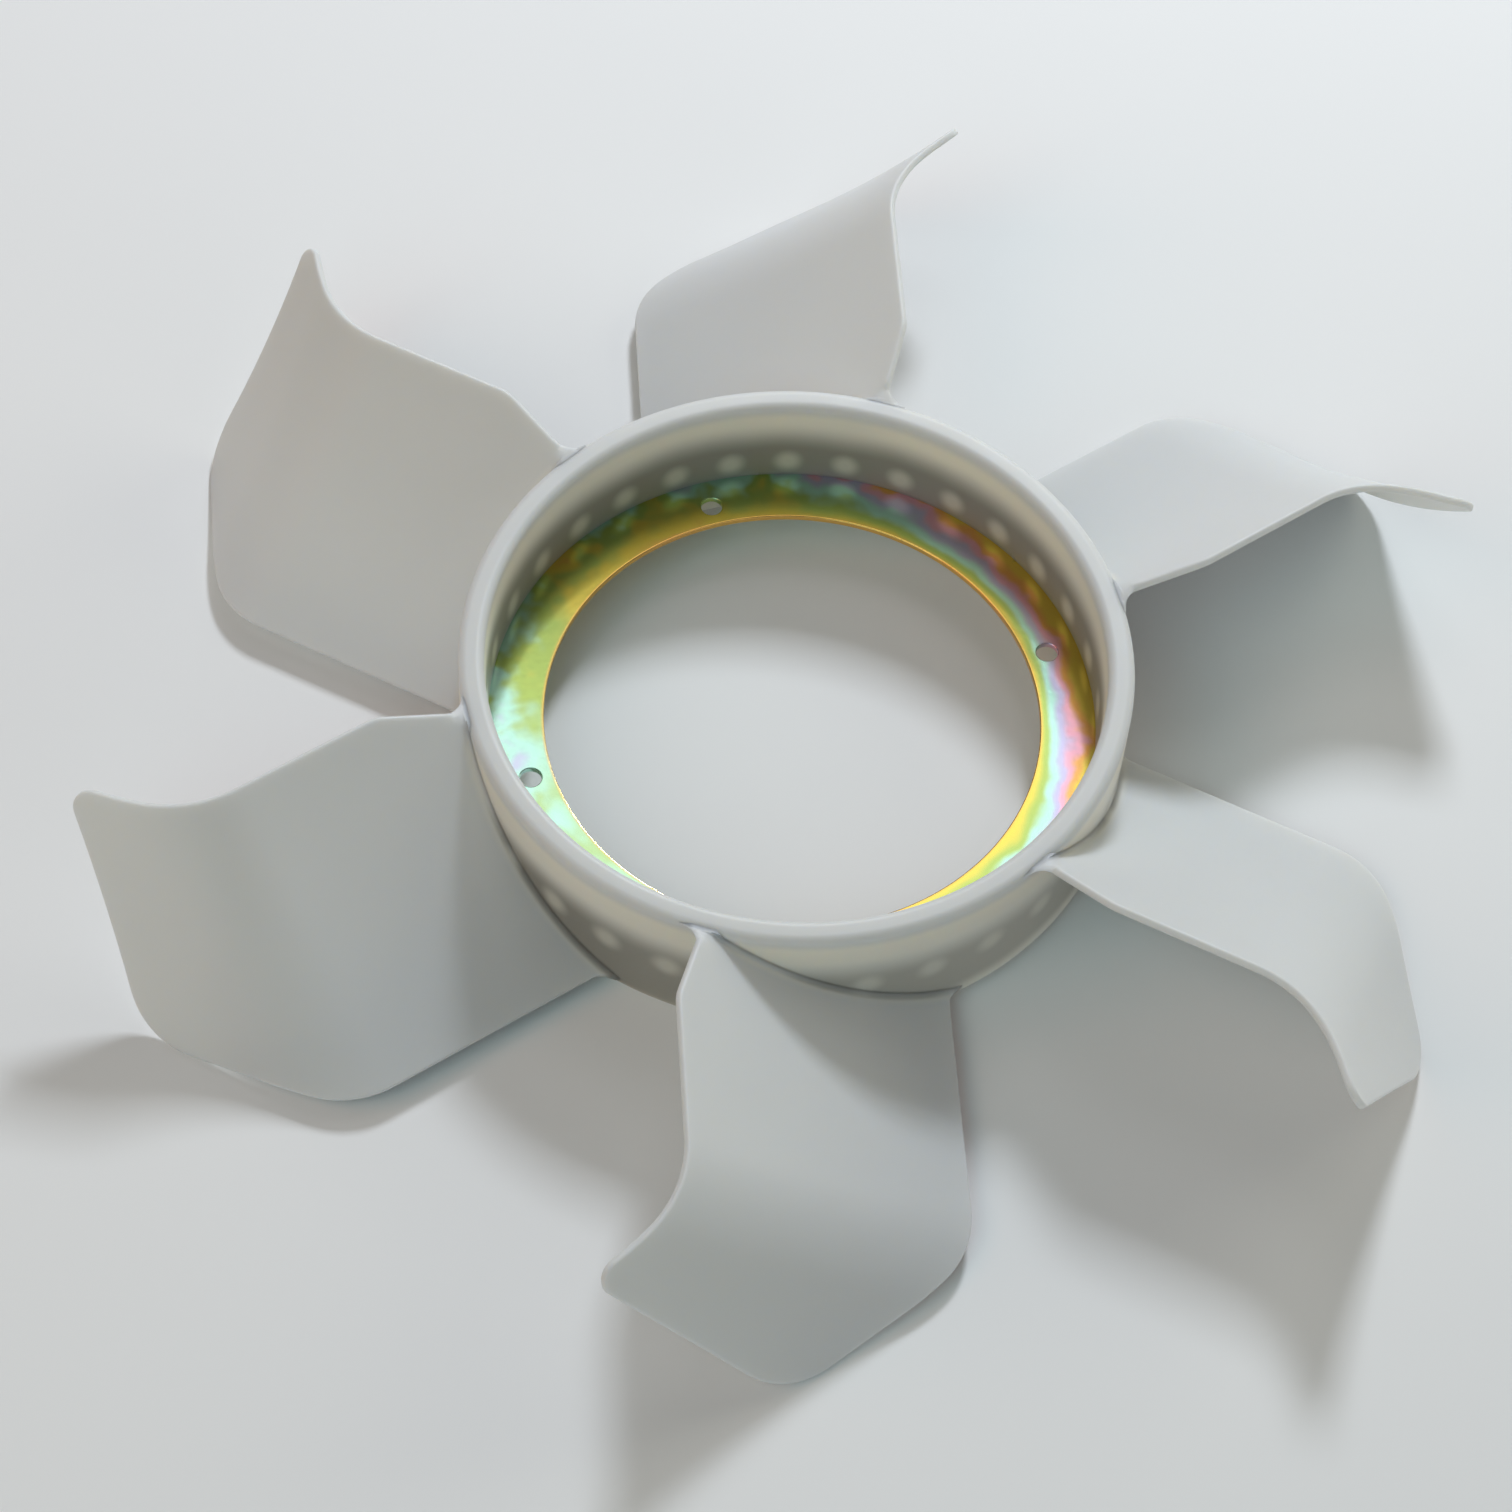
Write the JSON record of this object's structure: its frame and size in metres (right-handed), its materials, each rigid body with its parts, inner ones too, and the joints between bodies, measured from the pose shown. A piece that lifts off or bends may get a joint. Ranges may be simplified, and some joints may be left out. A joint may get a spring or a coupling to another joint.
{
  "type": "axial engine cooling fan",
  "caption": "Axial cooling fan: pale moulded nylon hub ring and pitched blades with bent-down tips, around a plated steel flange with bolt holes.",
  "frame": {"origin": "centre of the bolt circle, on the upper face of the steel flange", "axes": "+Z along the axis of rotation, towards the hub's rim; +X through a bolt hole"},
  "size_m": [0.4302, 0.4038, 0.058],
  "materials": {
    "nylon": "natural nylon, satin",
    "plated_steel": "zinc plated, yellow iridescent passivation"
  },
  "bodies": {
    "root": {"fan_moulding": "nylon", "steel_ring": "plated_steel"}
  },
  "joints": []
}
